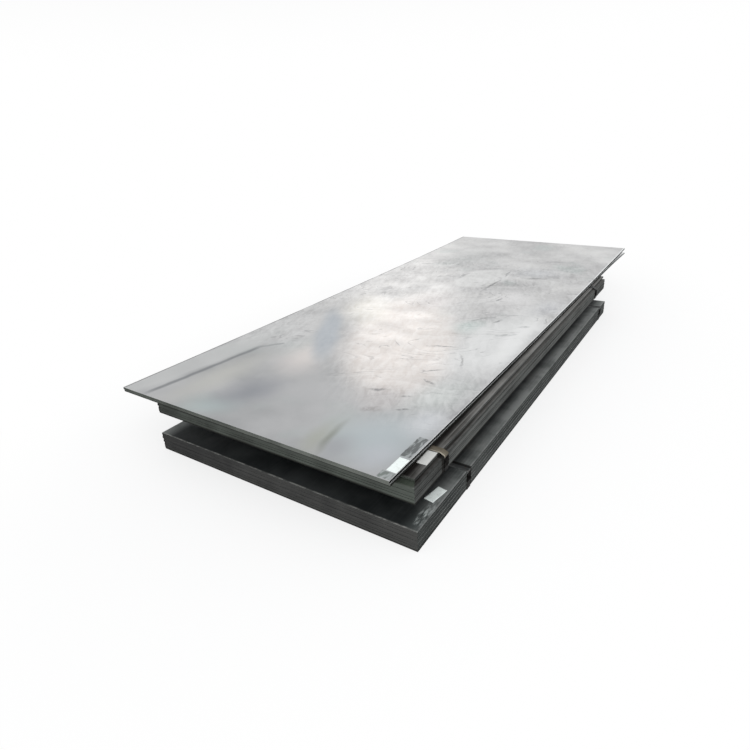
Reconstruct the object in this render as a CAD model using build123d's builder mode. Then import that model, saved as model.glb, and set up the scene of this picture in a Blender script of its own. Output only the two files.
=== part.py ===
from build123d import *
import math
import os

# A stack of hot-rolled steel plate: a strapped bundle, timbers on it, a second strapped bundle
# on the timbers, and two loose long plates on top. Millimetres. X runs across the plates,
# Y along them and Z up. Every piece is laid out from the bottom bundle's front right corner.
# The finished stack's origin is the middle of its footprint, on the floor.

# Long plates on top
long_plate_width = 1500.0
long_plate_length = 3770.0
long_plate_thickness = 10.0
long_plate_yaw = -0.5
long_plate_from_side = 91.5
long_plate_front_overhang = 22.5
long_plate_bow = 10.0
front_bow_share = 0.5
back_bow_share = 0.37
lower_plate_droop = 16.0
lower_plate_side_shift = 4.0

# Plates of the two bundles
bundle_plate_width = 1382.0
bundle_plate_length = 2842.0
bundle_plate_thickness = 9.5
bottom_plate_count = 9
middle_plate_count = 8
plate_stagger = 1.2
stagger_x_shares = (0.0, 0.7, -0.5, 0.9, -0.8, 0.3, -1.0, 0.6, -0.2)
stagger_y_shares = (0.4, -0.9, 0.2, 1.0, -0.3, 0.8, -0.6, 0.0, 0.3)
middle_bundle_from_side = 25.5
middle_bundle_from_front = 30.0
set_back_from_side = 19.0
set_back_from_front = 36.0

# Air between plates that lie on each other, and the broken edges of a sheared plate
plate_clearance = 0.3
edge_break = 0.5

# Timbers between the bundles
timber_height = 87.0
timber_width = 90.0
timber_inset = 101.0
timber_edge_break = 3.0
timber_place_shares = (0.22, 0.5, 0.78)

# Steel straps and their seals
strap_width = 32.0
strap_thickness = 1.0
strap_clearance = 0.3
middle_strap_from_front = 240.0
middle_strap_from_back = 265.0
bottom_strap_from_front = 425.0
bottom_strap_from_back = 162.0
seal_length = 40.0
seal_thickness = 1.2
seal_clearance = 0.2
seal_drop = 10.0
crimp_width = 5.0
crimp_depth = 1.6
crimp_place_shares = (0.3, 0.7)

# Paper labels, each placed from the front right corner of its plate
label_width = 42.0
label_length = 92.0
label_thickness = 0.3
label_clearance = 0.05
top_label_from_side = 3.0
top_label_from_front = 50.0
middle_label_from_side = 4.0
middle_label_from_front = 92.0
middle_label_yaw = 1.0
bottom_label_from_side = 21.0
bottom_label_from_front = 172.0
bottom_label_yaw = -9.0

# Levels, from the underside of the bottom bundle upwards
plate_pitch = bundle_plate_thickness + plate_clearance
bottom_base = 0
bottom_top = bottom_plate_count * plate_pitch - plate_clearance
timber_base = bottom_top + plate_clearance
middle_base = timber_base + timber_height + plate_clearance
middle_top = middle_base + middle_plate_count * plate_pitch - plate_clearance
strap_rise = strap_clearance + strap_thickness
lower_plate_base = middle_top + strap_rise + plate_clearance
upper_plate_base = lower_plate_base + long_plate_thickness + plate_clearance

# Front right corners of the bundles
bottom_corner = (0, 0)
middle_corner = (-middle_bundle_from_side, middle_bundle_from_front)
set_back_corner = (
    -middle_bundle_from_side - set_back_from_side,
    middle_bundle_from_front + set_back_from_front,
)

pieces = {}


def flat_plate(x, y, underside):
    # A flat plate of a bundle by its front right corner, all its edges slightly broken.
    with BuildPart() as plate:
        with BuildSketch(Plane((x, y, underside))):
            Rectangle(bundle_plate_width, bundle_plate_length, align=(Align.MAX, Align.MIN))
        extrude(amount=bundle_plate_thickness)
        chamfer(plate.edges(), length=edge_break)
    return plate


def bundle(name, corner, base, count, top_corner=None):
    # Plates one on another, a little out of line. The uppermost may lie at a corner of its own.
    for level in range(count):
        x = corner[0] + plate_stagger * stagger_x_shares[level % len(stagger_x_shares)]
        y = corner[1] + plate_stagger * stagger_y_shares[level % len(stagger_y_shares)]
        if top_corner and level == count - 1:
            x, y = top_corner
        pieces[f"{name}_plate_{level + 1}"] = flat_plate(x, y, base + level * plate_pitch)


def bundle_sides(corner):
    # How far the plates of a bundle reach to the left and to the right.
    left = corner[0] - bundle_plate_width + plate_stagger * min(stagger_x_shares)
    right = corner[0] + plate_stagger * max(stagger_x_shares)
    return left, right


def strap(corner, y, base, shoulder, top, top_corner):
    # A tensioned band round a bundle. It bridges the step of an uppermost plate that is set back.
    left, right = bundle_sides(corner)
    with BuildPart() as band:
        with BuildSketch(Plane.XZ.offset(-y)):
            with Locations((right, base)):
                Rectangle(right - left, shoulder - base, align=(Align.MAX, Align.MIN))
            if top_corner:
                with Locations((top_corner[0], top)):
                    Rectangle(bundle_plate_width, bundle_plate_thickness, align=(Align.MAX, Align.MAX))
            wrapped = make_hull()
            offset(amount=strap_rise)
            offset(wrapped.faces(), amount=strap_clearance, mode=Mode.SUBTRACT)
        extrude(amount=strap_width / 2, both=True)
    return band


def seal(corner, y, shoulder):
    # A crimped clip over the strap's run down the right side: a web with two folded flanges,
    # notched where the crimping tool bit.
    inner = bundle_sides(corner)[1] + strap_clearance
    pocket_depth = strap_thickness + seal_clearance
    pocket_width = strap_width + 2 * seal_clearance
    outer_depth = pocket_depth + seal_thickness
    outer_width = pocket_width + 2 * seal_thickness
    low = shoulder - seal_drop - seal_length
    with BuildPart() as clip:
        with BuildSketch(Plane((inner, y, low))):
            Rectangle(outer_depth, outer_width, align=(Align.MIN, Align.CENTER))
            Rectangle(pocket_depth, pocket_width, align=(Align.MIN, Align.CENTER), mode=Mode.SUBTRACT)
        extrude(amount=seal_length)
        with BuildSketch(Plane.YZ.offset(inner)):
            for share in crimp_place_shares:
                for side in (-1, 1):
                    with Locations((y + side * outer_width / 2, low + share * seal_length)):
                        Rectangle(2 * crimp_depth, crimp_width)
        extrude(amount=outer_depth, mode=Mode.SUBTRACT)
    return clip


def strapping(name, corner, base, top, from_front, from_back, top_corner=None):
    # The two straps of a bundle, each with its seal just under the shoulder.
    shoulder = top - plate_pitch if top_corner else top
    places = {
        "front": corner[1] + from_front,
        "back": corner[1] + bundle_plate_length - from_back,
    }
    for end, y in places.items():
        pieces[f"{name}_strap_{end}"] = strap(corner, y, base, shoulder, top, top_corner)
        pieces[f"{name}_seal_{end}"] = seal(corner, y, shoulder)


def timber(y):
    # A sawn timber lying across the bottom bundle, its long edges eased.
    with BuildPart() as beam:
        with BuildSketch(Plane.YZ.offset(-bundle_plate_width / 2)) as section:
            with Locations((y, timber_base + timber_height / 2)):
                Rectangle(timber_width, timber_height)
            chamfer(section.vertices(), length=timber_edge_break)
        extrude(amount=bundle_plate_width / 2 - timber_inset, both=True)
    return beam


def long_plate_plane(base, side_shift=0):
    # The front right corner of a long plate, turned with the plate.
    corner = Plane((-long_plate_from_side, -long_plate_front_overhang, base))
    turned = corner.rotated((0, 0, long_plate_yaw))
    return Plane(turned.from_local_coords((side_shift, 0, 0)), x_dir=turned.x_dir, z_dir=turned.z_dir)


def long_plate(plane, flat_end, back_rise):
    # A bowed plate: its section along the length, drawn out to its width. The front end rises
    # from the flat in an arc, and the back end bends up or down from it in another.
    # The long edges and the upright corners are broken.
    thickness = Vector(0, long_plate_thickness)
    flat_front = Vector(front_bow_share * long_plate_length, 0)
    flat_back = Vector(flat_end, 0)
    front = Vector(0, long_plate_bow)
    back = Vector(long_plate_length, back_rise)
    with BuildPart() as plate:
        with BuildSketch(Plane(plane.origin, x_dir=plane.y_dir, z_dir=plane.x_dir)):
            with BuildLine():
                for lift in (Vector(0, 0), thickness):
                    TangentArc(flat_front + lift, front + lift, tangent=(-1, 0))
                    Line(flat_front + lift, flat_back + lift)
                    TangentArc(flat_back + lift, back + lift, tangent=(1, 0))
                Line(front, front + thickness)
                Line(back, back + thickness)
            make_face()
        extrude(amount=-long_plate_width)
        across = plate.edges().filter_by(Axis(plane.origin, plane.x_dir))
        chamfer(plate.edges() - across, length=edge_break)
    return plate


def long_plates():
    # Both front ends rise together. The upper plate's back end rises too, and the lower one's
    # hangs down past the end of the bundle that carries it.
    bundle_end = set_back_corner[1] + bundle_plate_length + long_plate_front_overhang
    pieces["long_plate_lower"] = long_plate(
        long_plate_plane(lower_plate_base, lower_plate_side_shift),
        bundle_end,
        -lower_plate_droop,
    )
    pieces["long_plate_upper"] = long_plate(
        long_plate_plane(upper_plate_base),
        (1 - back_bow_share) * long_plate_length,
        long_plate_bow,
    )


def label(plane):
    # A paper label stuck on a plate, centred on the plane.
    with BuildPart() as paper:
        with BuildSketch(plane.offset(label_clearance)):
            Rectangle(label_width, label_length)
        extrude(amount=label_thickness)
    return paper


def label_on_bundle(corner, top, from_side, from_front, yaw):
    # A label on the uppermost plate of a bundle, turned about its own middle.
    x = corner[0] - from_side - label_width / 2
    y = corner[1] + from_front + label_length / 2
    return label(Plane((x, y, top)).rotated((0, 0, yaw)))


def label_on_long_plate():
    # The label lies on the slope of the upper plate's raised front end.
    plane = long_plate_plane(upper_plate_base)
    x = -top_label_from_side - label_width / 2
    y = top_label_from_front + label_length / 2
    bow_reach = front_bow_share * long_plate_length
    bow_radius = (bow_reach**2 + long_plate_bow**2) / (2 * long_plate_bow)
    rise = bow_radius - math.sqrt(bow_radius**2 - (bow_reach - y) ** 2)
    slope = math.degrees(math.asin((bow_reach - y) / bow_radius))
    place = plane.from_local_coords((x, y, rise + long_plate_thickness))
    level = Plane(place, x_dir=plane.x_dir, z_dir=plane.z_dir)
    return label(level.rotated((-slope, 0, 0)))


bundle("bottom", bottom_corner, bottom_base, bottom_plate_count)
bundle("middle", middle_corner, middle_base, middle_plate_count, set_back_corner)
long_plates()
strapping(
    "bottom",
    bottom_corner,
    bottom_base,
    bottom_top,
    bottom_strap_from_front,
    bottom_strap_from_back,
)
strapping(
    "middle",
    middle_corner,
    middle_base,
    middle_top,
    middle_strap_from_front,
    middle_strap_from_back,
    set_back_corner,
)
for position, share in zip(("front", "centre", "back"), timber_place_shares):
    pieces[f"timber_{position}"] = timber(share * bundle_plate_length)
pieces["label_bottom"] = label_on_bundle(
    bottom_corner,
    bottom_top,
    bottom_label_from_side,
    bottom_label_from_front,
    bottom_label_yaw,
)
pieces["label_middle"] = label_on_bundle(
    set_back_corner,
    middle_top,
    middle_label_from_side,
    middle_label_from_front,
    middle_label_yaw,
)
pieces["label_top"] = label_on_long_plate()

# The stack is set down with the middle of its footprint on the origin.
outline = Compound([piece.part for piece in pieces.values()]).bounding_box()
to_origin = Location((-outline.center().X, -outline.center().Y, -outline.min.Z))

os.makedirs("parts", exist_ok=True)
for name, piece in pieces.items():
    piece.part.move(to_origin)
    piece.part.label = name
    export_step(piece.part, f"parts/{name}.step")
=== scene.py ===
import math
from typing import NamedTuple

import bmesh
import bpy
from mathutils import Matrix, Vector, noise


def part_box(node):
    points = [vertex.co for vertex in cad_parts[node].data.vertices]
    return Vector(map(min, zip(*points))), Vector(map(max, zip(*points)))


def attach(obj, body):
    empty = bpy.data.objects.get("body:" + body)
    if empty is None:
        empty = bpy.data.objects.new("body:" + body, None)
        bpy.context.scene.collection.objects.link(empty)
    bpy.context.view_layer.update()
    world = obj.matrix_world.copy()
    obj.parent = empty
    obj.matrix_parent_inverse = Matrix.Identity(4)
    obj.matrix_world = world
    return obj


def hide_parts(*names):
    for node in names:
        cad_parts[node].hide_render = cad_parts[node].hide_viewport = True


# Looks of a strapped stack of hot-rolled steel plate. Metres, Z up, in the frame of the CAD part:
# X runs across the plates, Y along them, and the floor is at zero.
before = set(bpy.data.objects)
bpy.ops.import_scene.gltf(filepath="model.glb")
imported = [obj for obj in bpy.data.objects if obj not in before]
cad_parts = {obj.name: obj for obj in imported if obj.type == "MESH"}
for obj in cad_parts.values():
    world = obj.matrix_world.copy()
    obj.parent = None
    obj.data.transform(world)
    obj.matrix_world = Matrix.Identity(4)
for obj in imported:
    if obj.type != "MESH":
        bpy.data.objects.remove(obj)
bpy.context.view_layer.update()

# Camera
camera_place = Vector((1.516, -3.132, 1.382))
camera_azimuth = math.radians(-34.339)
camera_pitch = math.radians(-25.245)
camera_roll = math.radians(-3.124)
focal_pixels = 541.3
image_pixels = 750
sensor_width = 36.0

# Light and floor
white = (1.0, 1.0, 1.0)
zenith_colour = (0.55, 0.56, 0.568)
zenith_heights = (0.08, 0.72)
sky_strength = 1.20
overhead_place = Vector((0, 0, 5.0))
overhead_size = (8.0, 8.0)
overhead_power = 34.0
side_place = Vector((3.2, -1.6, 4.2))
side_size = (6.0, 4.0)
side_power = 70.0
sheen_azimuth = math.radians(-31.0)
sheen_elevation = math.radians(21.5)
sheen_distance = 5.0
sheen_spot_y = -0.62
sheen_size = (1.4, 1.5)
sheen_power = 5.0
sheen_colour = (1.0, 0.965, 0.935)
floor_radius = 40.0
floor_sides = 96
floor_colour = (0.95, 0.95, 0.95)
backdrop_fade = (1.2, 2.6)
backdrop_stretch = (1.35, 0.75, 1.0)
backdrop_near_share = 0.70

# The long plates' own corner: the front right one, from which their marks are placed
long_yaw = math.radians(-0.5)
long_width = 1.5
long_low, long_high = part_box("long_plate_upper")
long_length = (long_high.y - long_low.y) / math.cos(long_yaw)
long_corner = Vector((long_high.x + long_length * math.sin(long_yaw), long_low.y, 0))


class Tone(NamedTuple):
    """A soft patch: its centre, half size, turn in degrees, colour, strength and the share that is full."""

    centre: tuple
    half_size: tuple
    turn: float
    colour: tuple
    strength: float
    core: float = 0.0


# Marks on the long plates, placed from their corner
# Partly stains in the scale and partly painted light: painted sheen, a painted reflection and painted
# shade, marked below
long_plate_tones = (
    Tone((-1.42, 0.42), (0.12, 0.75), -6, (0.66, 0.665, 0.66), 0.8, 0.6),
    Tone((-1.18, 0.32), (0.15, 0.50), -4, (0.62, 0.615, 0.58), 0.8),
    Tone((-0.95, 0.09), (0.18, 0.13), 20, (0.53, 0.60, 0.60), 0.8),
    # Painted shade: the darker bluish patch at the front corner
    Tone((-0.92, 0.27), (0.20, 0.25), -20, (0.35, 0.36, 0.39), 0.9),
    Tone((-0.66, 0.37), (0.20, 0.24), -20, (0.56, 0.56, 0.565), 0.8),
    Tone((-0.18, 0.22), (0.25, 0.28), -30, (0.53, 0.59, 0.615), 0.8, 0.1),
    Tone((-0.38, 0.10), (0.08, 0.21), 9, (0.48, 0.49, 0.435), 0.75),
    Tone((-0.28, 0.08), (0.10, 0.14), 0, (0.42, 0.43, 0.45), 0.7),
    Tone((-0.12, 0.12), (0.10, 0.14), 0, (0.60, 0.62, 0.66), 0.6),
    Tone((-0.340, 0.135), (0.030, 0.19), 8, (0.27, 0.28, 0.235), 0.6),
    # Partly painted sheen: the pale warm zone, whose rest comes from the sheen lamp
    Tone((-0.64, 1.15), (0.37, 0.88), 26, (0.81, 0.765, 0.735), 0.88, 0.62),
    Tone((-1.12, 1.50), (0.22, 0.46), 35, (0.86, 0.84, 0.79), 0.8, 0.15),
    Tone((-0.36, 0.50), (0.18, 0.17), 10, (0.52, 0.50, 0.50), 0.75),
    Tone((-0.80, 1.85), (0.22, 0.34), 10, (0.665, 0.64, 0.635), 0.75),
    Tone((-0.95, 0.70), (0.21, 0.34), 18, (0.83, 0.775, 0.75), 0.85),
    # Painted reflection: the bluish band
    Tone((-1.07, 1.04), (0.10, 0.58), 34, (0.50, 0.535, 0.575), 0.9, 0.3),
    Tone((-0.38, 1.50), (0.14, 0.18), 0, (0.58, 0.67, 0.645), 0.7),
    Tone((-0.14, 0.64), (0.17, 0.30), -10, (0.67, 0.70, 0.685), 0.8),
    Tone((-0.08, 0.40), (0.12, 0.18), 0, (0.74, 0.76, 0.79), 0.7),
    Tone((-0.17, 1.34), (0.24, 0.70), 0, (0.88, 0.885, 0.88), 0.85, 0.35),
    Tone((-0.08, 1.36), (0.09, 0.56), 3, (0.97, 0.97, 0.965), 0.75, 0.2),
    Tone((-0.10, 2.00), (0.14, 0.26), 0, (0.63, 0.635, 0.66), 0.7),
    Tone((-0.36, 2.08), (0.24, 0.34), 0, (0.83, 0.82, 0.82), 0.75),
    Tone((-0.74, 2.46), (0.19, 0.30), -10, (0.80, 0.80, 0.79), 0.8, 0.7),
    Tone((-0.42, 2.74), (0.30, 0.24), 0, (0.57, 0.585, 0.61), 0.6),
    Tone((-0.62, 2.58), (0.10, 0.20), 0, (0.80, 0.80, 0.795), 0.6),
    Tone((-1.10, 2.98), (0.32, 0.50), 0, (0.54, 0.555, 0.55), 0.55),
)
flake_scars = (
    Tone((-0.410, 0.560), (0.065, 0.018), 27, (0.14, 0.14, 0.15), 0.8),
    Tone((-0.336, 0.392), (0.075, 0.036), 27, (0.34, 0.32, 0.32), 0.75),
    Tone((-0.268, 0.565), (0.034, 0.016), 27, (0.20, 0.20, 0.21), 0.75),
    Tone((-0.218, 0.448), (0.055, 0.011), 30, (0.18, 0.18, 0.19), 0.7),
    Tone((-0.248, 0.739), (0.055, 0.013), -23, (0.17, 0.17, 0.18), 0.75),
    Tone((-0.294, 0.855), (0.070, 0.012), 33, (0.18, 0.18, 0.19), 0.7),
    Tone((-0.468, 0.920), (0.100, 0.010), 28, (0.28, 0.27, 0.27), 0.65),
    Tone((-0.385, 1.153), (0.100, 0.012), 15, (0.19, 0.19, 0.20), 0.7),
    Tone((-0.218, 1.020), (0.130, 0.011), -64, (0.24, 0.24, 0.25), 0.6),
    Tone((-0.279, 1.640), (0.014, 0.055), -20, (0.20, 0.20, 0.21), 0.75),
    Tone((-0.110, 1.610), (0.055, 0.018), 30, (0.26, 0.26, 0.27), 0.6),
    Tone((-0.426, 2.032), (0.014, 0.065), -6, (0.18, 0.18, 0.19), 0.8),
    Tone((-0.599, 2.345), (0.015, 0.200), -3, (0.17, 0.17, 0.18), 0.85, 0.1),
    Tone((-0.605, 2.640), (0.014, 0.120), 8, (0.22, 0.22, 0.23), 0.75),
    Tone((-0.389, 2.599), (0.020, 0.090), -67, (0.22, 0.22, 0.23), 0.75),
    Tone((-0.893, 2.473), (0.026, 0.140), -2, (0.34, 0.34, 0.35), 0.6),
    Tone((-0.768, 2.740), (0.030, 0.180), -65, (0.36, 0.37, 0.38), 0.6),
    Tone((-0.390, 3.120), (0.120, 0.034), 16, (0.34, 0.34, 0.35), 0.6),
)
smooth_areas = (
    Tone((-1.17, 0.16), (0.88, 0.78), -12, white, 1.0, 0.62),
    Tone((-1.07, 1.04), (0.17, 0.66), 34, white, 0.75, 0.4),
)
long_streaks = (
    Tone((-1.310, 0.36), (0.022, 0.38), -5.3, (0.25, 0.26, 0.27), 0.88, 0.15),
    Tone((-1.235, 0.745), (0.020, 0.075), -40, (0.33, 0.34, 0.345), 0.6, 0.1),
)
paint_patches = (
    Tone((-0.030, 0.225), (0.021, 0.076), 0, (0.17, 0.18, 0.18), 0.92, 0.9),
    Tone((-0.030, 0.026), (0.028, 0.022), 0, (0.22, 0.25, 0.23), 0.85, 0.85),
)

# Chalk on the bottom bundle, placed in the part's own frame
bottom_chalk = Tone((0.772, -1.765), (0.026, 0.130), 0, (0.56, 0.60, 0.59), 0.9, 0.3)

# Colours of the long plates
front_dull = (0.43, 0.435, 0.44)
front_pale = (0.57, 0.57, 0.575)
# The back colours are paler, partly as painted sheen
back_dull = (0.56, 0.555, 0.555)
back_pale = (0.77, 0.765, 0.755)
green_tint = (0.50, 0.57, 0.55)
# Painted shade and painted highlight for the edges of the scale sheets
flake_painted_shade = (0.15, 0.15, 0.16)
flake_painted_highlight = (0.88, 0.87, 0.86)
speck_dark = (0.10, 0.10, 0.11)
# Rubbed steel along the right rim, partly a painted highlight
rubbed_and_highlit_steel = (0.92, 0.93, 0.93)
dull_rim = (0.20, 0.20, 0.20)
paint_smear_colour = (0.52, 0.55, 0.55)
# The long plates' sides are painted near black, far darker than their ends, as painted shade
long_side = ((0.006, 0.007, 0.006), (0.026, 0.028, 0.026))
long_front = ((0.060, 0.066, 0.059), (0.150, 0.160, 0.145))

# Other colours
rust = (0.085, 0.050, 0.030)
# Near black for painted shade: beside the straps, in the seam of the long plates and at the bundles' feet;
# also darkens the bundles' left ends
near_black = (0.012, 0.011, 0.010)
# Pale bundle rims, partly rubbed steel and partly painted highlight; the front one is paler still as
# painted light in the stack's shade
bundle_rubbed_and_highlight = (0.34, 0.35, 0.345)
front_rubbed_and_highlight = (0.42, 0.42, 0.40)
seal_dark = (0.004, 0.004, 0.004)
seal_light = (0.018, 0.017, 0.016)
timber_dark = (0.16, 0.105, 0.060)
timber_pale = (0.42, 0.31, 0.20)
timber_grey = (0.20, 0.18, 0.155)
clean_paper = (0.88, 0.94, 0.92)
greyer_paper = (0.63, 0.635, 0.615)
dirty_paper = (0.50, 0.50, 0.49)


class Strap(NamedTuple):
    """Colours of a strap where it lies over the plates: the band, a painted highlight along its front edge
    and a painted shade line along its back edge.
    """

    dull: tuple
    light: tuple
    front_highlight: tuple
    back_shade: tuple


waxed_strap = Strap(
    dull=(0.085, 0.074, 0.056),
    light=(0.210, 0.188, 0.148),
    front_highlight=(0.43, 0.395, 0.33),
    back_shade=(0.120, 0.104, 0.078),
)
blued_strap = Strap(
    dull=(0.045, 0.048, 0.049),
    light=(0.120, 0.126, 0.126),
    front_highlight=(0.150, 0.156, 0.156),
    back_shade=(0.010, 0.010, 0.010),
)


class Plates(NamedTuple):
    """Colours of a bundle's plates, each a dull and a light one, how streaky and rubbed they are, and where
    a painted shadow line lies beside each strap.
    """

    face: tuple
    border: tuple
    border_reach: float
    side: tuple
    front: tuple
    streaky: float
    rubbed: float
    strap_shadow_offset: float


bottom_plates = Plates(
    face=((0.024, 0.027, 0.028), (0.060, 0.065, 0.066)),
    border=((0.085, 0.095, 0.093), (0.300, 0.312, 0.306)),
    border_reach=0.085,
    side=((0.023, 0.026, 0.025), (0.063, 0.067, 0.065)),
    front=((0.044, 0.044, 0.0435), (0.070, 0.070, 0.0675)),
    streaky=0.2,
    rubbed=0.95,
    strap_shadow_offset=0.018,
)
step_plates = Plates(
    face=((0.050, 0.061, 0.048), (0.078, 0.090, 0.074)),
    border=((0.018, 0.017, 0.016), (0.095, 0.092, 0.087)),
    border_reach=0.045,
    side=((0.023, 0.024, 0.023), (0.104, 0.108, 0.104)),
    front=((0.052, 0.056, 0.051), (0.092, 0.103, 0.091)),
    streaky=0.6,
    rubbed=0.15,
    strap_shadow_offset=-0.026,
)
# The middle bundle's top plate: its face is painted near black as the long plates' shadow over it
top_plates = step_plates._replace(
    face=((0.006, 0.0055, 0.005), (0.026, 0.023, 0.021)),
    border=((0.050, 0.048, 0.045), (0.240, 0.235, 0.225)),
)

# Where marks and painted shade on steel start and where they are full, along or across the plates or from
# an edge
# The long plates turn paler towards the back, partly as painted sheen
back_tones = (0.15, 1.9)
flakes_start = (0.22, 0.60)
flakes_fade = (3.30, 2.60)
border_paling = (-1.60, -1.10)
side_shade = (-1.86, -1.30)
# Reach of the painted shade along the seam between the two long plates
seam_shade = (0.0040, 0.0016)
# Reaches of the painted contact shadow at a bundle's foot and of the darkening along its left end
foot_shade = (0.010, 0.003)
left_darkening = (0.016, 0.006)
# Reach of the painted shadow line beside each strap
strap_shadow_reach = (0.012, 0.006)
long_left_rim = (0.014, 0.005)
long_right_rim = (-0.0020, -0.0005)
rim_spread = 0.0028
rim_reach = 0.010
strap_shoulder = 0.024
# Where the painted highlight and painted shade lines lie across a strap
strap_highlight_shares = (0.24, 0.10)
strap_shade_shares = (0.72, 0.84)

# How the patterns lie: turns, stretches and sizes
flat = (1, 1, 0)
flake_origin = (0.93, 0.44, 0)
flake_turn = math.radians(27.0)
flake_stretch = (1.7, 0.8, 1.0)
sheet_step = 0.075
# Width of the painted shade and highlight lines at the sheets' edges, and how far the highlight sits past
# the shade
painted_line_width = sheet_step / 9
highlight_line_shift = sheet_step / 7
mottle_turn = math.radians(26.0)
mottle_size = (0.032, 0.080, 1.0)
brush_turn = math.radians(12.0)
brush_size = (0.030, 0.20, 1.0)
speck_density = 3.0
speck_reach = (0.024, 0.010)
paint_strokes = (70, 22, 1)
chalk_strokes = (95, 22, 1)
face_streaks = (120, 1.6, 1)
edge_streaks = (0.8, 0.8, 160.0)
edge_scratches = (3.0, 3.0, 420.0)
strap_wear = (9, 60, 9)
timber_grain = (1.2, 26.0, 26.0)
saw_marks = (260.0, 6.0, 6.0)

# How strongly each layer shows
sheet_share = 0.13
mottle_share = 0.13
flake_painted_line_share = 0.34
brush_share = 0.09
far_flakes_share = 0.5
speck_share = 0.8
paint_smear_share = 0.8
side_blotch_share = 0.3
end_blotch_share = 0.8
front_slope = 0.18
foot_and_left_dark_share = 0.8
line_share = 0.9

# Finish: spans of noise values, gloss from smooth to rough, and relief in metres
wide_span = (0.3, 0.7)
narrow_span = (0.34, 0.66)
long_gloss = (0.30, 0.46)
bundle_gloss = (0.46, 0.66)
strap_gloss = (0.38, 0.58)
paint_roughness = 0.65
long_edge_roughness = 0.7
bundle_edge_roughness = 0.8
long_metallic = 0.85
dark_metallic = 0.35
steel_specular = 0.05
scale_relief = 0.0016
sheet_lift = 10.0
grain_lift = 0.12
dark_relief = 0.0005
timber_relief = 0.0016
saw_lift = 0.5
paper_relief = 0.0002


class Paper(NamedTuple):
    """A label: the plate that carries it, its turn, how it ripples and curls, and its noise's seed."""

    carrier: str
    yaw: float
    ripple: float
    curl: float
    seed: float


papers = {
    "label_top": Paper("long_plate_upper", long_yaw, 0.00005, 0.00005, 3.0),
    "label_middle": Paper("middle_plate_8", math.radians(1.0), 0.0002, 0.0008, 11.0),
    "label_bottom": Paper("bottom_plate_9", math.radians(-9.0), 0.0002, 0.0010, 23.0),
}
label_size = Vector((0.042, 0.092, 0))
label_cells = (12, 24)
label_thickness = 0.00025
label_lift = 0.00006
ripple_scale = 28.0
curl_start_share = 0.62
held_corner_share = 0.35
greyer_label_reach = (0.004, 0.012)


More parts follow.
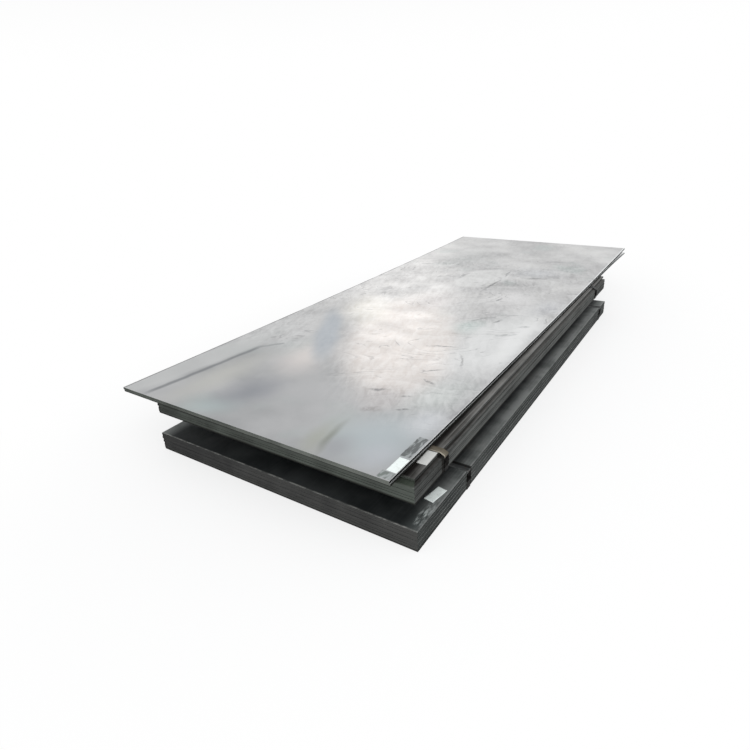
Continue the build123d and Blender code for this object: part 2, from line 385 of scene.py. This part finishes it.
class Surface:
    """A node material in the making. Each method adds nodes and gives back the socket to read."""

    def __init__(self, name):
        self.material = bpy.data.materials.new(name)
        self.material.use_nodes = True
        self.tree = self.material.node_tree
        self.shader = self.tree.nodes["Principled BSDF"]
        coordinates = self.node("ShaderNodeTexCoord")
        self.place = coordinates.outputs["Object"]
        self.normal = coordinates.outputs["Normal"]

    def put(self, socket, value):
        if isinstance(value, bpy.types.NodeSocket):
            self.tree.links.new(value, socket)
        elif hasattr(socket.default_value, "__len__") and len(value) < len(socket.default_value):
            socket.default_value = (*value, 1.0)
        else:
            socket.default_value = value

    def node(self, kind, inputs=None, **settings):
        made = self.tree.nodes.new(kind)
        for setting, value in settings.items():
            setattr(made, setting, value)
        for socket, value in (inputs or {}).items():
            self.put(made.inputs[socket], value)
        return made

    def math(self, operation, a, b=0.0):
        return self.node("ShaderNodeMath", {0: a, 1: b}, operation=operation).outputs[0]

    def times(self, product, *factors):
        for factor in factors:
            product = self.math("MULTIPLY", product, factor)
        return product

    def between(self, share, a, b):
        """The number that lies a share of the way from a to b."""
        return self.node("ShaderNodeMix", {0: share, 2: a, 3: b}).outputs[0]

    def vector(self, operation, a, b=(0, 0, 0)):
        return self.node("ShaderNodeVectorMath", {0: a, 1: b}, operation=operation).outputs[0]

    def length(self, vector):
        return self.node("ShaderNodeVectorMath", {0: vector}, operation="LENGTH").outputs["Value"]

    def axis(self, vector, name):
        return self.node("ShaderNodeSeparateXYZ", {0: vector}).outputs[name]

    def ramp(self, value, start, end, low=0.0, high=1.0):
        """Goes smoothly from low to high while the value goes from start to end."""
        limits = {"Value": value, "From Min": start, "From Max": end, "To Min": low, "To Max": high}
        return self.node("ShaderNodeMapRange", limits, interpolation_type="SMOOTHSTEP").outputs[0]

    def mix(self, share, a, b, blend="MIX"):
        mixer = self.node("ShaderNodeMix", data_type="RGBA", blend_type=blend)
        for socket, value in ((0, share), (6, a), (7, b)):
            self.put(mixer.inputs[socket], value)
        return mixer.outputs[2]

    def noise(self, place, scale, detail=3.0, roughness=0.5, distortion=0.0, output=0):
        inputs = {
            "Vector": place,
            "Scale": scale,
            "Detail": detail,
            "Roughness": roughness,
            "Distortion": distortion,
        }
        return self.node("ShaderNodeTexNoise", inputs).outputs[output]

    def warp(self, place, scale, amount):
        """The place, pushed about by noise."""
        push = self.vector("SUBTRACT", self.noise(place, scale, output=1), (0.5, 0.5, 0.5))
        return self.vector("ADD", place, self.vector("MULTIPLY", push, (2 * amount, 2 * amount, 0)))

    def seen_from(self, place, turn, size=(1, 1, 1), origin=(0, 0, 0)):
        """The place in turned axes of its own, from an origin and in units of a size."""
        inputs = {"Vector": place, "Location": origin, "Rotation": (0, 0, turn), "Scale": size}
        return self.node("ShaderNodeMapping", inputs, vector_type="TEXTURE").outputs[0]

    def inside(self, place, tone):
        """The place as seen from the middle of a stain, in half sizes."""
        return self.seen_from(place, math.radians(tone.turn), (*tone.half_size, 1), (*tone.centre, 0))

    def oval(self, place, tone):
        """How much of a round stain there is at a place."""
        return self.ramp(self.length(self.inside(place, tone)), 1.0, tone.core, 0.0, tone.strength)

    def block(self, place, tone):
        """How much of a square stain there is at a place."""
        inner = self.vector("ABSOLUTE", self.inside(place, tone))
        reach = self.math("MAXIMUM", self.axis(inner, "X"), self.axis(inner, "Y"))
        return self.ramp(reach, 1.0, tone.core, 0.0, tone.strength)

    def stroke(self, place, tone):
        """How much of a straight mark there is at a place: soft across it and even along it."""
        inner = self.vector("ABSOLUTE", self.inside(place, tone))
        across = self.ramp(self.axis(inner, "X"), 1.0, tone.core, 0.0, tone.strength)
        return self.times(across, self.ramp(self.axis(inner, "Y"), 1.0, 0.75))

    def bump(self, height, distance, strength=1.0):
        inputs = {"Height": height, "Distance": distance, "Strength": strength}
        return self.node("ShaderNodeBump", inputs).outputs[0]

    def finish(self, **sockets):
        for socket, value in sockets.items():
            self.put(self.shader.inputs[socket.replace("_", " ")], value)
        return self.material


def facing_up(s):
    """1 on the top and underside of a plate, 0 on its sheared edges."""
    return s.ramp(s.math("ABSOLUTE", s.axis(s.normal, "Z")), 0.75, 0.9)


def sheared_edge(s, side, front):
    """The colour of the cut edges: straight streaks along the sides and blotches across the ends, each with
    colours of its own that also hold painted shade for the way it faces.
    """
    streaks = s.noise(s.vector("MULTIPLY", s.place, edge_streaks), 1.0, detail=4, roughness=0.55)
    blotches = s.noise(s.place, 6.0, detail=5, roughness=0.55)
    along = s.between(side_blotch_share, streaks, blotches)
    across = s.between(end_blotch_share, streaks, blotches)
    shade = s.ramp(s.axis(s.place, "Y"), *side_shade, -0.05, 0.04)
    side_colour = s.mix(s.ramp(s.math("ADD", along, shade), 0.36, 0.64), *side)
    rightward = s.times(s.axis(s.place, "X"), front_slope)
    front_colour = s.mix(s.ramp(s.math("ADD", across, rightward), 0.32, 0.68), *front)
    sideways = s.ramp(s.math("ABSOLUTE", s.axis(s.normal, "X")), 0.5, 0.7)
    return s.mix(sideways, front_colour, side_colour)


def broad_tones(s, plan, drifted):
    """Clouds of dull and pale scale, paler towards the back partly as painted sheen, with stains and
    painted light over them.
    """
    clouds = s.ramp(s.noise(plan, 1.9, detail=5, roughness=0.55), 0.32, 0.68)
    front = s.mix(clouds, front_dull, front_pale)
    back = s.mix(clouds, back_dull, back_pale)
    colour = s.mix(s.ramp(s.axis(drifted, "Y"), *back_tones), front, back)
    greenish = s.ramp(s.noise(plan, 2.3, detail=2), 0.55, 0.72, 0.0, 0.45)
    colour = s.mix(greenish, colour, green_tint)
    for tone in long_plate_tones:
        colour = s.mix(s.oval(drifted, tone), colour, tone.colour)
    return colour


def flaked_area(s, drifted):
    """How much the scale flakes: not at the front or in the smooth areas, and less at the far end."""
    onward = s.axis(drifted, "Y")
    flaked = s.ramp(onward, *flakes_start)
    for area in smooth_areas:
        flaked = s.times(flaked, s.math("SUBTRACT", 1.0, s.oval(drifted, area)))
    return s.times(flaked, s.ramp(onward, *flakes_fade, far_flakes_share))


def lay_flakes(s, plan, flaked, colour):
    """Sheets of lifted scale, each of its own tone, with a painted shade line and a painted highlight line
    at their edges. Also gives their height.
    """
    flow = s.seen_from(plan, flake_turn, flake_stretch, flake_origin)
    relief = s.noise(flow, 2.6, detail=6, roughness=0.48, distortion=0.5)
    level = s.math("FLOOR", s.math("DIVIDE", relief, sheet_step))
    sheet = s.node("ShaderNodeTexWhiteNoise", {"W": level}, noise_dimensions="1D").outputs["Value"]
    from_edge = s.math("PINGPONG", relief, sheet_step / 2)
    highlight_distance = s.math("PINGPONG", s.math("ADD", relief, highlight_line_shift), sheet_step / 2)
    broken = s.ramp(s.noise(flow, 4.6, detail=4, roughness=0.55), 0.49, 0.60)
    shown = s.times(flaked, broken)
    drift = s.seen_from(plan, mottle_turn, mottle_size)
    mottle = s.ramp(s.noise(drift, 1.0, detail=7, roughness=0.6, distortion=0.8), 0.36, 0.64)
    colour = s.mix(s.times(flaked, sheet_share), colour, sheet, "OVERLAY")
    colour = s.mix(s.times(flaked, mottle_share), colour, mottle, "OVERLAY")
    # A painted highlight line just past each sheet's edge and a painted shade line along it
    for distance, line_colour in ((highlight_distance, flake_painted_highlight), (from_edge, flake_painted_shade)):
        line = s.ramp(distance, painted_line_width, 0.0)
        colour = s.mix(s.times(line, shown, flake_painted_line_share), colour, line_colour)
    brush = s.seen_from(s.warp(plan, 3.0, 0.03), brush_turn, brush_size)
    brushed = s.ramp(s.noise(brush, 1.0, detail=5, roughness=0.6), *narrow_span)
    colour = s.mix(s.times(flaked, brush_share), colour, brushed, "OVERLAY")
    torn = s.warp(plan, 16.0, 0.022)
    ragged = s.ramp(s.noise(plan, 55.0, detail=3, roughness=0.6), 0.34, 0.56, 0.3, 1.0)
    for scar in flake_scars:
        colour = s.mix(s.times(s.oval(torn, scar), ragged), colour, scar.colour)
    return colour, s.times(from_edge, sheet_lift, flaked)


def wear_plate(s, plan, local, onward, colour):
    """The long streak, specks, the dull left edge and the bright right rim, partly rubbed steel and partly
    a painted highlight.
    """
    wavy = s.warp(plan, 6.0, 0.014)
    for streak in long_streaks:
        colour = s.mix(s.stroke(wavy, streak), colour, streak.colour)
    cells = s.node("ShaderNodeTexVoronoi", {"Vector": plan, "Scale": speck_density}).outputs["Distance"]
    colour = s.mix(s.ramp(cells, *speck_reach, 0.0, speck_share), colour, speck_dark)
    from_right = s.axis(local, "X")
    from_left = s.math("ADD", from_right, long_width)
    dulled = s.ramp(s.noise(plan, 4.0, detail=4), 0.38, 0.55, 0.25, 0.85)
    colour = s.mix(s.times(s.ramp(from_left, *long_left_rim), dulled), colour, dull_rim)
    # The right rim: rubbed steel and partly a painted highlight along the edge
    rim = s.ramp(s.math("ADD", from_right, s.times(onward, rim_spread)), *long_right_rim)
    rim = s.times(rim, s.ramp(s.noise(plan, 6.0, detail=5), 0.30, 0.45))
    return s.mix(rim, colour, rubbed_and_highlit_steel)


def brush_paint(s, plan, colour):
    """Brushed-over paint beside the label. Also gives how much of it there is."""
    smeared = s.warp(plan, 60.0, 0.004)
    strokes = s.vector("MULTIPLY", s.warp(plan, 25.0, 0.006), paint_strokes)
    smears = s.ramp(s.noise(strokes, 1.0, detail=2, roughness=0.4), 0.46, 0.62)
    painted = 0.0
    for patch in paint_patches:
        cover = s.block(smeared, patch)
        paint = s.mix(s.times(smears, paint_smear_share), patch.colour, paint_smear_colour)
        colour = s.mix(cover, colour, paint)
        painted = s.math("MAXIMUM", cover, painted)
    return colour, painted


def long_plate_steel():
    s = Surface("long_plate_mill_scale")
    local = s.seen_from(s.place, long_yaw, origin=long_corner)
    plan = s.vector("MULTIPLY", local, flat)
    drifted = s.warp(plan, 2.6, 0.05)
    flaked = flaked_area(s, drifted)
    colour, lifted = lay_flakes(s, plan, flaked, broad_tones(s, plan, drifted))
    colour = wear_plate(s, plan, local, s.axis(drifted, "Y"), colour)
    colour, painted = brush_paint(s, plan, colour)
    edge = sheared_edge(s, long_side, long_front)
    # Painted shade along the seam between the two long plates
    off_seam = s.math("ABSOLUTE", s.math("SUBTRACT", s.axis(s.place, "Z"), long_low.z))
    edge = s.mix(s.ramp(off_seam, *seam_shade, 0.0, line_share), edge, near_black)
    on_face = facing_up(s)
    gloss = s.ramp(s.noise(plan, 5.0, detail=5), *wide_span, *long_gloss)
    gloss = s.math("MAXIMUM", gloss, s.times(painted, paint_roughness))
    grain = s.noise(plan, 160.0, detail=2)
    height = s.math("ADD", lifted, s.times(grain, grain_lift))
    return s.finish(
        Base_Color=s.mix(on_face, edge, colour),
        Metallic=s.ramp(on_face, 0.0, 1.0, 0.0, long_metallic),
        Specular_IOR_Level=steel_specular,
        Roughness=s.between(on_face, long_edge_roughness, gloss),
        Normal=s.bump(height, scale_relief, 0.5),
    )


def bundle_face(s, plan, low, high, plates, above):
    """Dark scale with a border: along the sides, or where the plate above leaves it bare."""
    across = s.axis(s.place, "X")
    along = s.axis(s.place, "Y")
    clouds = s.noise(plan, 4.0, detail=6, roughness=0.6)
    streaks = s.noise(s.vector("MULTIPLY", plan, face_streaks), 1.0, detail=4, roughness=0.6)
    tone = s.ramp(s.between(plates.streaky, clouds, streaks), *narrow_span)
    if above:
        above_low, above_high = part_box(above)
        from_front = s.math("DIVIDE", s.math("SUBTRACT", along, low.y), above_low.y - low.y)
        from_right = s.math("DIVIDE", s.math("SUBTRACT", high.x, across), high.x - above_high.x)
        bordered = s.ramp(s.math("SUBTRACT", from_front, from_right), -0.12, 0.12)
    else:
        to_right = s.ramp(across, high.x - plates.border_reach, high.x - rim_reach)
        to_left = s.ramp(across, low.x + plates.border_reach, low.x + rim_reach)
        bordered = s.math("MAXIMUM", to_right, to_left)
    paler = s.math("ADD", tone, s.ramp(along, *border_paling, -0.25, 0.35))
    return s.mix(bordered, s.mix(tone, *plates.face), s.mix(paler, *plates.border))


def rubbed_and_highlit_rims(s, plan, low, high, plates, colour):
    """Pale rims at the left end, along the right rim and along the top plate's front edge: partly steel
    rubbed bare and partly painted highlight.
    """
    across = s.axis(s.place, "X")
    rubs = s.noise(plan, 26.0, detail=5, roughness=0.65)
    worn = s.ramp(rubs, 0.40, 0.60, plates.rubbed / 3, plates.rubbed)
    left_reach = low.x + plates.border_reach
    left_end = s.ramp(across, left_reach, low.x + rim_reach, 0.0, plates.rubbed / 2)
    colour = s.mix(left_end, colour, bundle_rubbed_and_highlight)
    right_rim = s.ramp(across, high.x - rim_reach, high.x - rim_reach / 4)
    colour = s.mix(s.times(right_rim, worn), colour, bundle_rubbed_and_highlight)
    front_rim = s.ramp(s.axis(s.place, "Y"), low.y + rim_reach, low.y + rim_reach / 4)
    topmost = s.ramp(s.axis(s.place, "Z"), high.z - rim_reach / 2, high.z - rim_reach / 4)
    return s.mix(s.times(front_rim, topmost, worn), colour, front_rubbed_and_highlight)


def smear_chalk(s, plan, chalk, colour):
    strokes = s.vector("MULTIPLY", s.warp(plan, 18.0, 0.008), chalk_strokes)
    smears = s.ramp(s.noise(strokes, 1.0, detail=5, roughness=0.65), 0.42, 0.66)
    cover = s.times(s.oval(s.warp(plan, 12.0, 0.015), chalk), smears)
    return s.mix(cover, colour, chalk.colour)


def bundle_steel(name, node, plates, straps, above=None, chalk=None):
    """Dark plates, the topmost of which is the node. A plate above it leaves a strip of it bare."""
    s = Surface(name)
    low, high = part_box(node)
    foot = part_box(node.rsplit("_", 1)[0] + "_1")[0].z
    plan = s.vector("MULTIPLY", s.place, flat)
    colour = bundle_face(s, plan, low, high, plates, above)
    colour = rubbed_and_highlit_rims(s, plan, low, high, plates, colour)
    if chalk:
        colour = smear_chalk(s, plan, chalk, colour)
    # Painted contact shadow along the foot of each bundle, and darker along its left end
    under = s.ramp(s.axis(s.place, "Z"), *(foot + reach for reach in foot_shade))
    leftmost = s.ramp(s.axis(s.place, "X"), *(low.x + reach for reach in left_darkening))
    edge = sheared_edge(s, plates.side, plates.front)
    edge = s.mix(s.times(s.math("MAXIMUM", under, leftmost), foot_and_left_dark_share), edge, near_black)
    on_face = facing_up(s)
    colour = s.mix(on_face, edge, colour)
    # A painted shadow line beside each strap, where the strap stands off the plates
    for strap in straps:
        strap_low, strap_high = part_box(strap)
        strap_shadow_y = (strap_low.y + strap_high.y) / 2 + plates.strap_shadow_offset
        off_line = s.math("ABSOLUTE", s.math("SUBTRACT", s.axis(s.place, "Y"), strap_shadow_y))
        colour = s.mix(s.ramp(off_line, *strap_shadow_reach, 0.0, line_share), colour, near_black)
    scratches = s.noise(s.vector("MULTIPLY", s.place, edge_scratches), 1.0, detail=3)
    gloss = s.ramp(s.noise(s.place, 9.0, detail=4), *wide_span, *bundle_gloss)
    return s.finish(
        Base_Color=colour,
        Metallic=s.ramp(on_face, 0.0, 1.0, 0.0, dark_metallic),
        Specular_IOR_Level=steel_specular,
        Roughness=s.between(on_face, bundle_edge_roughness, gloss),
        Normal=s.bump(scratches, dark_relief, 0.15),
    )


def strap_steel(node, strap):
    """A band with a painted highlight along its front edge and a painted shade line along its back edge
    where it lies over the plates, and dark down the sides.
    """
    s = Surface(node + "_steel")
    low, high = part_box(node)
    width = high.y - low.y
    wear = s.noise(s.vector("MULTIPLY", s.place, strap_wear), 1.0, detail=5, roughness=0.6)
    worn = s.ramp(wear, *wide_span)
    spots = s.noise(s.place, 45.0, detail=3)
    colour = s.mix(worn, strap.dull, strap.light)
    colour = s.mix(s.ramp(spots, 0.58, 0.70, 0.0, 0.7), colour, rust)
    # A painted highlight along the front edge and a painted shade line along the back edge
    from_front = s.math("SUBTRACT", s.axis(s.place, "Y"), low.y)
    front_highlight_line = s.ramp(from_front, *(share * width for share in strap_highlight_shares), 0.0, line_share)
    front_highlight_line = s.times(front_highlight_line, s.ramp(spots, 0.32, 0.48))
    colour = s.mix(front_highlight_line, colour, strap.front_highlight)
    back_shade_line = s.ramp(from_front, *(share * width for share in strap_shade_shares), 0.0, line_share)
    colour = s.mix(back_shade_line, colour, strap.back_shade)
    over_top = s.ramp(s.axis(s.place, "Z"), high.z - strap_shoulder, high.z - strap_shoulder / 3)
    colour = s.mix(over_top, s.mix(worn, seal_dark, seal_light), colour)
    return s.finish(
        Base_Color=colour,
        Metallic=s.times(over_top, dark_metallic),
        Specular_IOR_Level=steel_specular,
        Roughness=s.ramp(spots, *wide_span, *strap_gloss),
        Normal=s.bump(wear, dark_relief, 0.4),
    )


def seal_steel():
    s = Surface("crimped_seal")
    spots = s.noise(s.place, 70.0, detail=4)
    return s.finish(
        Base_Color=s.mix(s.ramp(spots, 0.35, 0.65), seal_dark, seal_light),
        Specular_IOR_Level=0.0,
        Roughness=0.6,
        Normal=s.bump(spots, dark_relief, 0.4),
    )


def sawn_timber():
    s = Surface("sawn_softwood")
    grain = s.vector("MULTIPLY", s.warp(s.place, 3.0, 0.01), timber_grain)
    rings = s.noise(grain, 1.0, detail=5, roughness=0.6, distortion=0.6)
    saw = s.noise(s.vector("MULTIPLY", s.place, saw_marks), 1.0, detail=2)
    colour = s.mix(s.ramp(rings, *wide_span), timber_dark, timber_pale)
    weathered = s.ramp(s.noise(s.place, 6.0), 0.45, 0.7, 0.0, 0.5)
    height = s.math("ADD", rings, s.times(saw, saw_lift))
    return s.finish(
        Base_Color=s.mix(weathered, colour, timber_grey),
        Roughness=0.78,
        Normal=s.bump(height, timber_relief, 0.5),
    )


def label_paper():
    """Paper that is greyer on the middle bundle."""
    s = Surface("label_paper")
    fibre = s.noise(s.place, 900.0, detail=2)
    dirt = s.noise(s.place, 70.0, detail=5, roughness=0.6)
    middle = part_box("label_middle")[0].z
    from_middle = s.math("ABSOLUTE", s.math("SUBTRACT", s.axis(s.place, "Z"), middle))
    pale = s.mix(s.ramp(from_middle, *greyer_label_reach), greyer_paper, clean_paper)
    return s.finish(
        Base_Color=s.mix(s.ramp(dirt, 0.50, 0.74, 0.0, 0.35), pale, dirty_paper),
        Roughness=0.8,
        Specular_IOR_Level=0.2,
        Normal=s.bump(fibre, paper_relief, 0.3),
    )


def dress(material, *names):
    """The nodes whose names start in one of these ways take the material."""
    for name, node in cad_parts.items():
        if name.startswith(names):
            node.data.materials.clear()
            node.data.materials.append(material)


def lay_paper(name, paper, material):
    """A thin sheet that follows its plate, rippled, with its free corners curling up."""
    low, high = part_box(name)
    turn = Matrix.Rotation(paper.yaw, 3, "Z")
    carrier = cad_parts[paper.carrier]
    shape = bmesh.new()
    bmesh.ops.create_grid(shape, x_segments=label_cells[0], y_segments=label_cells[1], size=0.5)
    for vertex in shape.verts:
        across, along = vertex.co.x, vertex.co.y
        spot = (low + high) / 2 + turn @ Vector((across * label_size.x, along * label_size.y, 0))
        spot.z = high.z + label_size.y
        _, ground, _, _ = carrier.ray_cast(spot, Vector((0, 0, -1)))
        free = max(0.0, abs(across) + abs(along) - curl_start_share) / (1 - curl_start_share)
        wave = 0.5 + 0.5 * noise.noise(Vector((spot.x, spot.y, paper.seed)) * ripple_scale)
        side = 1 if across * along > 0 else held_corner_share
        spot.z = ground.z + label_lift + paper.ripple * wave + paper.curl * side * free**2
        vertex.co = spot
    mesh = bpy.data.meshes.new(name + "_paper")
    shape.to_mesh(mesh)
    shape.free()
    mesh.materials.append(material)
    mesh.shade_smooth()
    sheet = bpy.data.objects.new(name + "_paper", mesh)
    bpy.context.scene.collection.objects.link(sheet)
    body = sheet.modifiers.new("thickness", "SOLIDIFY")
    body.thickness = label_thickness
    body.offset = 1.0
    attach(sheet, "root")
    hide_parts(name)


def seen_directly(tree):
    """1 for what the camera sees, straight, mirrored or through glass, and 0 for lighting."""
    path = tree.nodes.new("ShaderNodeLightPath")
    seen = path.outputs["Is Camera Ray"]
    for ray in ("Is Glossy Ray", "Is Transmission Ray"):
        either = tree.nodes.new("ShaderNodeMath")
        either.operation = "MAXIMUM"
        tree.links.new(seen, either.inputs[0])
        tree.links.new(path.outputs[ray], either.inputs[1])
        seen = either.outputs[0]
    return seen


def lay_floor():
    """A pale floor that takes the stack's shadow and turns into a white backdrop further off."""
    shape = bmesh.new()
    bmesh.ops.create_circle(shape, cap_ends=True, segments=floor_sides, radius=floor_radius)
    mesh = bpy.data.meshes.new("floor")
    shape.to_mesh(mesh)
    shape.free()
    floor = bpy.data.objects.new("floor", mesh)
    bpy.context.scene.collection.objects.link(floor)
    s = Surface("pale_floor")
    s.finish(Base_Color=floor_colour, Roughness=0.9, Specular_IOR_Level=0.0)
    distance = s.length(s.vector("MULTIPLY", s.place, backdrop_stretch))
    away = s.times(s.ramp(distance, *backdrop_fade, backdrop_near_share), seen_directly(s.tree))
    backdrop = s.node("ShaderNodeEmission", {"Color": white, "Strength": 1.0}).outputs[0]
    blend = s.node("ShaderNodeMixShader", {0: away, 1: s.shader.outputs[0], 2: backdrop}).outputs[0]
    s.put(s.tree.nodes["Material Output"].inputs["Surface"], blend)
    mesh.materials.append(s.material)


def light_world():
    """A soft sky, white at the horizon and greyer overhead, whose light is stronger than it looks."""
    world = bpy.data.worlds.new("sky")
    bpy.context.scene.world = world
    world.use_nodes = True
    tree = world.node_tree
    background = tree.nodes["Background"]
    direction = tree.nodes.new("ShaderNodeTexCoord")
    height = tree.nodes.new("ShaderNodeSeparateXYZ")
    tree.links.new(direction.outputs["Generated"], height.inputs[0])
    share = tree.nodes.new("ShaderNodeMapRange")
    share.interpolation_type = "SMOOTHSTEP"
    share.inputs["From Min"].default_value, share.inputs["From Max"].default_value = zenith_heights
    tree.links.new(height.outputs["Z"], share.inputs["Value"])
    sky = tree.nodes.new("ShaderNodeMix")
    sky.data_type = "RGBA"
    sky.inputs[6].default_value = (*white, 1.0)
    sky.inputs[7].default_value = (*zenith_colour, 1.0)
    tree.links.new(share.outputs[0], sky.inputs[0])
    tree.links.new(sky.outputs[2], background.inputs["Color"])
    strength = tree.nodes.new("ShaderNodeMapRange")
    strength.inputs["To Min"].default_value = sky_strength
    tree.links.new(seen_directly(tree), strength.inputs["Value"])
    tree.links.new(strength.outputs[0], background.inputs["Strength"])


def soft_lamp(name, place, aim, size, power, colour=white):
    lamp = bpy.data.lights.new(name, "AREA")
    lamp.shape = "RECTANGLE"
    lamp.size, lamp.size_y = size
    lamp.energy = power
    lamp.color = colour
    holder = bpy.data.objects.new(name, lamp)
    holder.location = place
    holder.rotation_euler = (aim - place).to_track_quat("-Z", "Y").to_euler()
    holder.visible_camera = False
    bpy.context.scene.collection.objects.link(holder)


def heading(azimuth, elevation):
    """The direction at an azimuth, which turns from Y to X, and at an elevation above the floor."""
    level = math.cos(elevation)
    return Vector((math.sin(azimuth) * level, math.cos(azimuth) * level, math.sin(elevation)))


def set_camera():
    forward = heading(camera_azimuth, camera_pitch)
    right = forward.cross(Vector((0, 0, 1))).normalized()
    right = Matrix.Rotation(-camera_roll, 3, forward) @ right
    upward = right.cross(forward)
    camera = bpy.data.cameras.new("camera")
    camera.sensor_width = sensor_width
    camera.lens = sensor_width * focal_pixels / image_pixels
    holder = bpy.data.objects.new("camera", camera)
    axes = Matrix((right, upward, -forward)).transposed()
    holder.matrix_world = Matrix.Translation(camera_place) @ axes.to_4x4()
    bpy.context.scene.collection.objects.link(holder)
    bpy.context.scene.camera = holder


# The stack
ends = ("front", "back")
bottom_straps = [f"bottom_strap_{end}" for end in ends]
middle_straps = [f"middle_strap_{end}" for end in ends]
dress(long_plate_steel(), "long_plate")
bottom_steel = bundle_steel(
    "bottom_steel", "bottom_plate_9", bottom_plates, bottom_straps, chalk=bottom_chalk
)
dress(bottom_steel, "bottom_plate")
middle_steel = bundle_steel("middle_steel", "middle_plate_7", step_plates, middle_straps, "middle_plate_8")
dress(middle_steel, "middle_plate")
middle_top_steel = bundle_steel("middle_top_steel", "middle_plate_8", top_plates, middle_straps)
dress(middle_top_steel, "middle_plate_8")
for strap_name in middle_straps + bottom_straps:
    strap_colours = waxed_strap if strap_name == "middle_strap_front" else blued_strap
    dress(strap_steel(strap_name, strap_colours), strap_name)
dress(seal_steel(), "bottom_seal", "middle_seal")
dress(sawn_timber(), "timber")
paper_material = label_paper()
for label_name, label in papers.items():
    lay_paper(label_name, label, paper_material)

# Floor, light and camera
lay_floor()
light_world()
stack_top = Vector((0, 0, long_high.z))
soft_lamp("overhead", overhead_place, stack_top, overhead_size, overhead_power)
soft_lamp("side", side_place, stack_top, side_size, side_power)
sheen_spot = Vector((0, sheen_spot_y, long_high.z))
sheen_place = sheen_spot + sheen_distance * heading(sheen_azimuth, sheen_elevation)
soft_lamp("sheen", sheen_place, sheen_spot, sheen_size, sheen_power, sheen_colour)
set_camera()
bpy.context.scene.view_settings.view_transform = "Standard"
